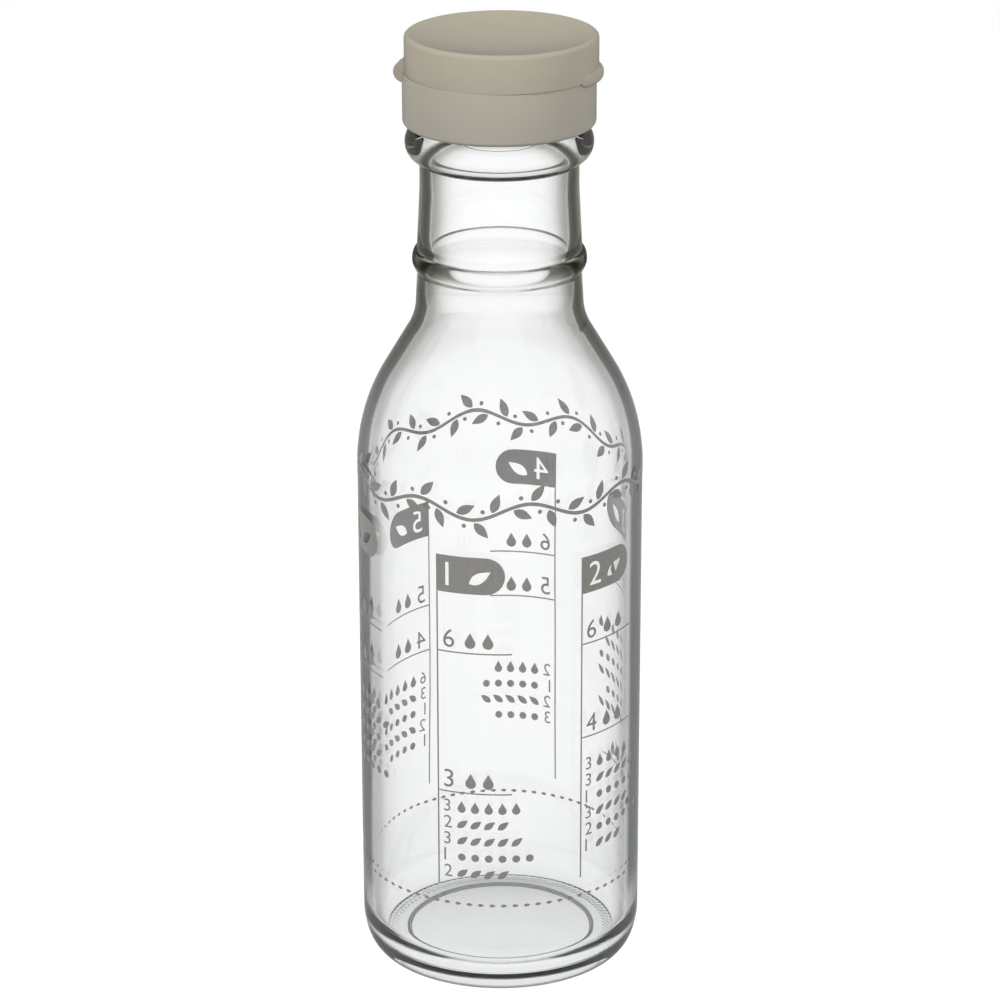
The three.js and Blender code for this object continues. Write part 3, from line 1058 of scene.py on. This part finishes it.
def makeGlass(look):
    material, tree, shader = newMaterial("clearGlass")
    facing = addNode(tree, "LayerWeight", {"Blend": 0.5}).outputs["Facing"]
    place = addNode(tree, "TexCoord").outputs["Object"]
    height = addNode(tree, "SeparateXYZ", {"Vector": place}).outputs["Z"]
    level = addNode(tree, "VectorMath", {0: place, 1: (1, 1, 0)}, operation="MULTIPLY")
    reach = addNode(tree, "VectorMath", {0: level.outputs["Vector"]}, operation="LENGTH").outputs["Value"]
    share = shareBetween(tree, height, 0, look["zoneTop"])
    zones = rampColor(tree, share, [(at / look["zoneTop"], shares) for at, shares in look["zones"]])
    zone = addNode(tree, "SeparateColor", {"Color": zones}).outputs

    onSkin = workOut(tree, "GREATER_THAN", reach, look["ringFrom"])
    onRing = workOut(tree, "MULTIPLY", zone["Green"], onSkin)
    outside = mixColors(tree, zone["Red"], slantRamp(tree, facing, look["bodyOutside"]),
                        slantRamp(tree, facing, look["neckOutside"]))
    outside = mixColors(tree, onRing, outside, slantRamp(tree, facing, look["ringOutside"]))

    isLow = workOut(tree, "LESS_THAN", height, look["stepTop"])
    isNear = workOut(tree, "LESS_THAN", reach, look["stepReach"])
    onStep = workOut(tree, "MULTIPLY", isLow, isNear)
    heel = mixColors(tree, onStep, white, slantRamp(tree, facing, look["stepInside"]))
    inside = mixColors(tree, zone["Red"], slantRamp(tree, facing, look["bodyInside"]),
                       slantRamp(tree, facing, look["neckInside"]))
    inside = mixColors(tree, zone["Blue"], inside, heel)
    fromWithin = addNode(tree, "NewGeometry").outputs["Backfacing"]
    # Painted shade: the coat's tint lays these dark bands on the clear glass
    setInputs(tree, shader, {
        "Base Color": look["color"],
        "Transmission Weight": 1.0,
        "IOR": look["ior"],
        "Roughness": look["roughness"],
        "Coat Weight": 1.0,
        "Coat IOR": 1.0,
        "Coat Tint": mixColors(tree, fromWithin, outside, inside),
    })

    inShadow = addNode(tree, "LightPath").outputs["Is Shadow Ray"]
    clear = addNode(tree, "BsdfTransparent", {"Color": look["shadow"]})
    absorb = addNode(tree, "VolumeAbsorption", {"Color": look["absorb"], "Density": look["density"]})
    setInputs(tree, tree.nodes["Material Output"], {
        "Surface": mixShaders(tree, inShadow, shader.outputs["BSDF"], clear.outputs["BSDF"]),
        "Volume": absorb.outputs["Volume"],
    })
    return material


plasticLook = {
    "tones": [(0.35, linear(169, 163, 146)), (0.65, linear(171, 165, 148))],
    "lowTone": linear(163, 158, 147),  # a shade greyer towards the bottom of the collar
    "toneHeights": (0.198, 0.212),
    # Painted shade: it darkens where it is met slantwise
    "slantShade": [(0.0, 1.0), (0.55, 1.0), (0.7, 0.93), (0.8, 0.82), (0.9, 0.66), (1.0, 0.52)],
    "mottle": (220.0, 3.0, 0.6),
    "grain": (2600.0, 2.0),
    "bump": (0.05, 0.0002),
    "roughness": (0.5, 0.6),
    "shine": 0.2,
}


def makePlastic(look):
    material, tree, shader = newMaterial("puttyPlastic")
    place = addNode(tree, "TexCoord").outputs["Object"]
    mottle = noise(tree, place, *look["mottle"])
    height = addNode(tree, "SeparateXYZ", {"Vector": place}).outputs["Z"]
    share = shareBetween(tree, height, *look["toneHeights"])
    graded = mixColors(tree, share, (*look["lowTone"], 1), rampColor(tree, mottle, look["tones"]))
    # Painted shade: the base colour darkens where the surface is met slantwise
    facing = addNode(tree, "LayerWeight", {"Blend": 0.5}).outputs["Facing"]
    setInputs(tree, shader, {
        "Base Color": mixColors(tree, 1, graded, rampColor(tree, facing, look["slantShade"]), "MULTIPLY"),
        "Roughness": spreadOver(tree, mottle, *look["roughness"]),
        "Normal": bump(tree, noise(tree, place, *look["grain"]), *look["bump"]),
        "Specular IOR Level": look["shine"],
    })
    return material


sealLook = {
    "tones": [(0.3, linear(214, 210, 200)), (0.7, linear(226, 223, 214))],
    "grain": (900.0, 4.0),
    "bump": (0.15, 0.0003),
    "roughness": 0.72,
}


def makeSeal(look):
    material, tree, shader = newMaterial("softSeal")
    grain = noise(tree, addNode(tree, "TexCoord").outputs["Object"], *look["grain"])
    setInputs(tree, shader, {
        "Base Color": rampColor(tree, grain, look["tones"]),
        "Roughness": look["roughness"],
        "Normal": bump(tree, grain, *look["bump"]),
    })
    return material


steelLook = {
    "tones": [(0.3, (0.5676, 0.5676, 0.5762)), (0.7, (0.66, 0.66, 0.67))],
    "stretch": (1.0, 0.05, 1.0),  # drawn out along the pin
    "grain": (6000.0, 2.0),
    "roughness": (0.2, 0.38),
}


def makeSteel(look):
    material, tree, shader = newMaterial("drawnSteel")
    place = addNode(tree, "TexCoord").outputs["Object"]
    drawn = addNode(tree, "Mapping", {"Vector": place, "Scale": look["stretch"]}).outputs["Vector"]
    grain = noise(tree, drawn, *look["grain"])
    setInputs(tree, shader, {
        "Base Color": rampColor(tree, grain, look["tones"]),
        "Metallic": 1.0,
        "Roughness": spreadOver(tree, grain, *look["roughness"]),
    })
    return material


inkLook = {
    "tones": [(0.35, linear(124, 122, 117)), (0.7, linear(134, 132, 127))],
    "grain": (1500.0, 3.0),
    "roughness": 0.5,
}


def makeInk(look):
    material, tree, shader = newMaterial("greyInk")
    grain = noise(tree, addNode(tree, "TexCoord").outputs["Object"], *look["grain"])
    setInputs(tree, shader, {
        "Base Color": rampColor(tree, grain, look["tones"]),
        "Roughness": look["roughness"],
    })
    return material


def wear(material, *pieces):
    for piece in pieces:
        piece.data.materials.clear()
        piece.data.materials.append(material)


wear(makeGlass(glassLook), bottle)
wear(makePlastic(plasticLook), collar, lid)
wear(makeSeal(sealLook), neckSeal, lidSeal)
wear(makeSteel(steelLook), pin)
wear(makeInk(inkLook), *printPieces)
print("materials set")


# What each piece rides on and stands for

for piece, body, node, slot in (
    (bottle, "bottle", "bottle", "clear_glass"),
    (neckSeal, "seal", "neck_seal", "soft_seal"),
    (collar, "collar", "collar", "putty_plastic"),
    (pin, "collar", "hinge_pin", "pin_steel"),
    (lid, "lid", "lid", "putty_plastic"),
    (lidSeal, "lid", "lid_seal", "soft_seal"),
):
    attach(piece, body)
    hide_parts(node)
for piece in printPieces:
    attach(piece, "bottle")
print("pieces ride on their bodies")


# Floor, light and background

studio = {
    "floorSize": 8.0,
    "floorColor": (0.5, 0.5, 0.5, 1),
    "floorRoughness": 0.9,
    "floorShine": 0.1,
    "floorGlow": 0.66,
    # Glow that glass and gloss see in the floor, by distance from the bottle's axis as a share of the reach;
    # it is dimmer near the bottle, a painted shade round its foot
    "glowReach": 0.5,
    "seenGlowShade": [(0.0, 0.5), (0.08, 0.51), (0.2, 0.53), (0.4, 0.55), (0.7, 0.59), (1.0, 0.64)],
    "skyLevel": 0.42,
    # Each lamp: its name, place, size and watts
    "lamps": [
        ("keyLamp", (-0.95, -0.9, 1.05), 0.6, 14.2),
        ("fillLamp", (0.9, -0.95, 1.05), 0.6, 10.8),
        ("backLamp", (0.2, 1.3, 0.8), 0.9, 0.5),
    ],
    "lampAim": (0.0, 0.0, 0.12),
    # What glass and gloss see overhead, by the sine of the height of the sight line
    "overhead": [(0.0, 1.0), (0.015, 0.4), (0.04, 0.04), (0.5, 0.04), (0.65, 0.8), (1.0, 0.9)],
    "windows": 2,                # ahead and behind
    "windowColor": (0.97, 0.97, 0.97, 1),
    "windowEdges": (-0.78, -0.95),
}


def makeFloor(s):
    bm = bmesh.new()
    half = s["floorSize"] / 2
    bm.faces.new([bm.verts.new((x * half, y * half, 0)) for x, y in ((-1, -1), (1, -1), (1, 1), (-1, 1))])
    floor = makeObject("floor", bm)
    material, tree, shader = newMaterial("paleFloor")
    rays = addNode(tree, "LightPath").outputs
    place = addNode(tree, "TexCoord").outputs["Object"]
    reach = addNode(tree, "VectorMath", {0: place}, operation="LENGTH").outputs["Value"]
    share = shareBetween(tree, reach, 0, s["glowReach"])
    bent = workOut(tree, "ADD", rays["Is Glossy Ray"], rays["Is Transmission Ray"], use_clamp=True)
    # Painted shade: the floor glows less near the bottle for glass and gloss
    seen = workOut(tree, "MULTIPLY", bent, rampColor(tree, share, s["seenGlowShade"]))
    setInputs(tree, shader, {
        "Base Color": s["floorColor"],
        "Roughness": s["floorRoughness"],
        "Specular IOR Level": s["floorShine"],
        "Emission Color": white,
        "Emission Strength": workOut(tree, "MULTIPLY_ADD", rays["Is Camera Ray"], s["floorGlow"], seen),
    })
    wear(material, floor)


def makeSky(s):
    world = bpy.data.worlds.new("studioSky")
    bpy.context.scene.world = world
    world.use_nodes = True
    tree = world.node_tree
    tree.nodes.clear()
    rays = addNode(tree, "LightPath").outputs
    sight = addNode(tree, "SeparateXYZ", {"Vector": addNode(tree, "TexCoord").outputs["Generated"]}).outputs
    around = workOut(tree, "ARCTAN2", sight["Y"], sight["X"])
    wave = workOut(tree, "COSINE", workOut(tree, "MULTIPLY", around, s["windows"]))
    window = shareBetween(tree, wave, *s["windowEdges"])
    plain = workOut(tree, "ADD", window, rays["Is Glossy Ray"], use_clamp=True)
    overhead = mixColors(tree, plain, rampColor(tree, sight["Z"], s["overhead"]), s["windowColor"])
    light = addNode(tree, "Background", {"Color": white, "Strength": s["skyLevel"]}).outputs[0]
    mirrored = addNode(tree, "Background", {"Color": overhead, "Strength": 1.0}).outputs[0]
    backdrop = addNode(tree, "Background", {"Color": white, "Strength": 1.0}).outputs[0]
    bent = workOut(tree, "ADD", rays["Is Glossy Ray"], rays["Is Transmission Ray"], use_clamp=True)
    unseen = mixShaders(tree, bent, light, mirrored)
    addNode(tree, "OutputWorld", {"Surface": mixShaders(tree, rays["Is Camera Ray"], unseen, backdrop)})


def makeLamps(s):
    for name, place, size, watts in s["lamps"]:
        data = bpy.data.lights.new(name, "AREA")
        data.size = size
        data.energy = watts
        lamp = placeObject(name, data)
        lamp.location = place
        lamp.visible_glossy = False
        lamp.visible_transmission = False
        lamp.rotation_euler = (Vector(s["lampAim"]) - Vector(place)).to_track_quat("-Z", "Y").to_euler()


makeFloor(studio)
makeSky(studio)
makeLamps(studio)
bpy.context.scene.view_settings.view_transform = "Standard"
print("studio lit")
